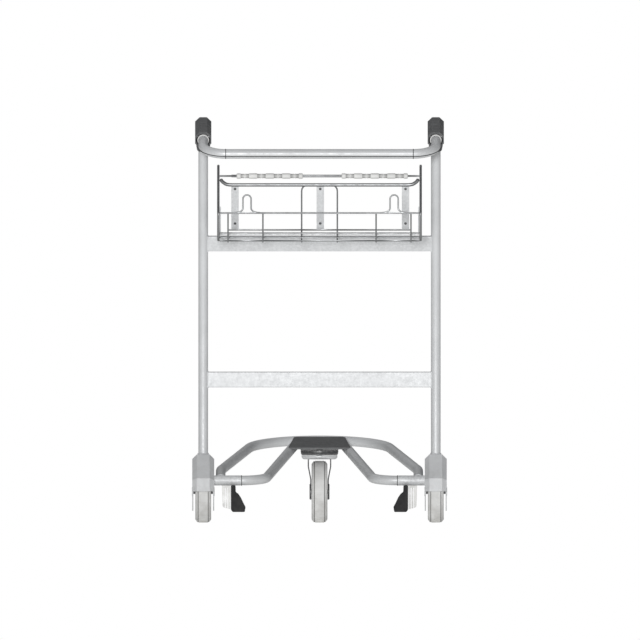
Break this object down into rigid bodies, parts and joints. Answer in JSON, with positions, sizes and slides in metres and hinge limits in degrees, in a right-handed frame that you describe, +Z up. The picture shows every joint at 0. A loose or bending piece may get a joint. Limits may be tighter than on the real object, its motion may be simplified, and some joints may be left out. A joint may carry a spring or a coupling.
{
  "type": "luggage trolley",
  "caption": "Free-standing luggage trolley with a bent-tube chassis, leaning posts, sprung brake handle, wire hand-luggage basket, housed rear wheels and a nose castor.",
  "frame": {"origin": "on the floor, under the middle of the bounding box", "axes": "+Z up, +Y towards the nose, away from the person who pushes, +X to that person's right"},
  "size_m": [0.6568, 1.1034, 1.0458],
  "materials": {
    "steel_tube": "satin silver-grey coating on steel tube",
    "steel_wire": "bright plated wire",
    "grey_casing": "moulded mid grey",
    "dark_plastic": "moulded dark grey",
    "pale_plastic": "moulded pale grey",
    "black_rubber": "matt",
    "grey_tyre": "non-marking grey rubber",
    "hub_plastic": "moulded grey",
    "bright_steel": "zinc plated",
    "dark_steel": "dark coating"
  },
  "bodies": {
    "frame": {"basket_back_panel": "steel_wire", "basket_floor": "steel_wire", "basket_front_panel": "steel_wire", "basket_shelf_strip": "steel_tube", "basket_top_rail": "steel_wire", "castor_bearing_cup": "dark_steel", "castor_mount": "dark_plastic", "left_basket_bracket": "steel_tube", "left_basket_side": "steel_wire", "left_basket_strap": "steel_tube", "left_chassis_tube": "steel_tube", "left_escalator_foot": "black_rubber", "left_escalator_pad": "pale_plastic", "left_handle_joint": "dark_plastic", "left_handle_pin": "bright_steel", "left_post": "steel_tube", "left_rail_sleeve": "pale_plastic", "left_strap_rivet_high": "bright_steel", "left_strap_rivet_low": "bright_steel", "left_wheel_axle": "bright_steel", "left_wheel_housing": "grey_casing", "load_hoop": "steel_tube", "lower_crossbar": "steel_tube", "middle_basket_strap": "steel_tube", "middle_strap_rivet_high": "bright_steel", "middle_strap_rivet_low": "bright_steel", "nose_plate": "dark_plastic", "right_basket_bracket": "steel_tube", "right_basket_side": "steel_wire", "right_basket_strap": "steel_tube", "right_chassis_tube": "steel_tube", "right_escalator_foot": "black_rubber", "right_escalator_pad": "pale_plastic", "right_handle_joint": "dark_plastic", "right_handle_pin": "bright_steel", "right_post": "steel_tube", "right_rail_sleeve": "pale_plastic", "right_strap_rivet_high": "bright_steel", "right_strap_rivet_low": "bright_steel", "right_wheel_axle": "bright_steel", "right_wheel_housing": "grey_casing", "upper_crossbar": "steel_tube"},
    "handle": {"handle": "steel_tube", "left_handle_collar": "pale_plastic", "right_handle_collar": "pale_plastic"},
    "left_wheel": {"left_wheel_tyre": "grey_tyre", "left_wheel_hub": "hub_plastic", "left_wheel_bearing": "bright_steel"},
    "right_wheel": {"right_wheel_tyre": "grey_tyre", "right_wheel_hub": "hub_plastic", "right_wheel_bearing": "bright_steel"},
    "left_brake": {"left_brake_shoe": "black_rubber"},
    "right_brake": {"right_brake_shoe": "black_rubber"},
    "castor_fork": {"castor_fork": "dark_steel", "castor_kingpin": "bright_steel", "castor_axle": "bright_steel"},
    "castor_wheel": {"castor_tyre": "grey_tyre", "castor_hub": "hub_plastic", "castor_bearing": "bright_steel"}
  },
  "joints": [
    {"name": "left_wheel_spin", "type": "hinge", "parent": "frame", "child": "left_wheel", "pos_m": [-0.3, -0.20075, 0.07961], "axis": [1, 0, 0], "continuous": true},
    {"name": "right_wheel_spin", "type": "hinge", "parent": "frame", "child": "right_wheel", "pos_m": [0.3, -0.20075, 0.07961], "axis": [1, 0, 0], "continuous": true},
    {"name": "castor_swivel", "type": "hinge", "parent": "frame", "child": "castor_fork", "pos_m": [0, 0.39425, 0.172], "axis": [0, 0, 1], "continuous": true},
    {"name": "castor_wheel_spin", "type": "hinge", "parent": "castor_fork", "child": "castor_wheel", "pos_m": [0, 0.34925, 0.07961], "axis": [1, 0, 0], "continuous": true},
    {"name": "handle_press", "type": "hinge", "parent": "frame", "child": "handle", "pos_m": [0, -0.41512, 0.99623], "axis": [1, 0, 0], "range_deg": [0, 5], "stiffness_Nm_per_rad": 20, "springref_deg": -20.05},
    {"name": "left_brake_lift", "type": "hinge", "parent": "frame", "child": "left_brake", "pos_m": [-0.3, -0.17875, 0.1654], "axis": [1, 0, 0], "range_deg": [-4, 0]},
    {"name": "right_brake_lift", "type": "hinge", "parent": "frame", "child": "right_brake", "pos_m": [0.3, -0.17875, 0.1654], "axis": [1, 0, 0], "range_deg": [-4, 0]}
  ],
  "couplings": [
    {"joint": "left_brake_lift", "follows": "handle_press", "ratio": -0.8},
    {"joint": "right_brake_lift", "follows": "handle_press", "ratio": -0.8}
  ]
}
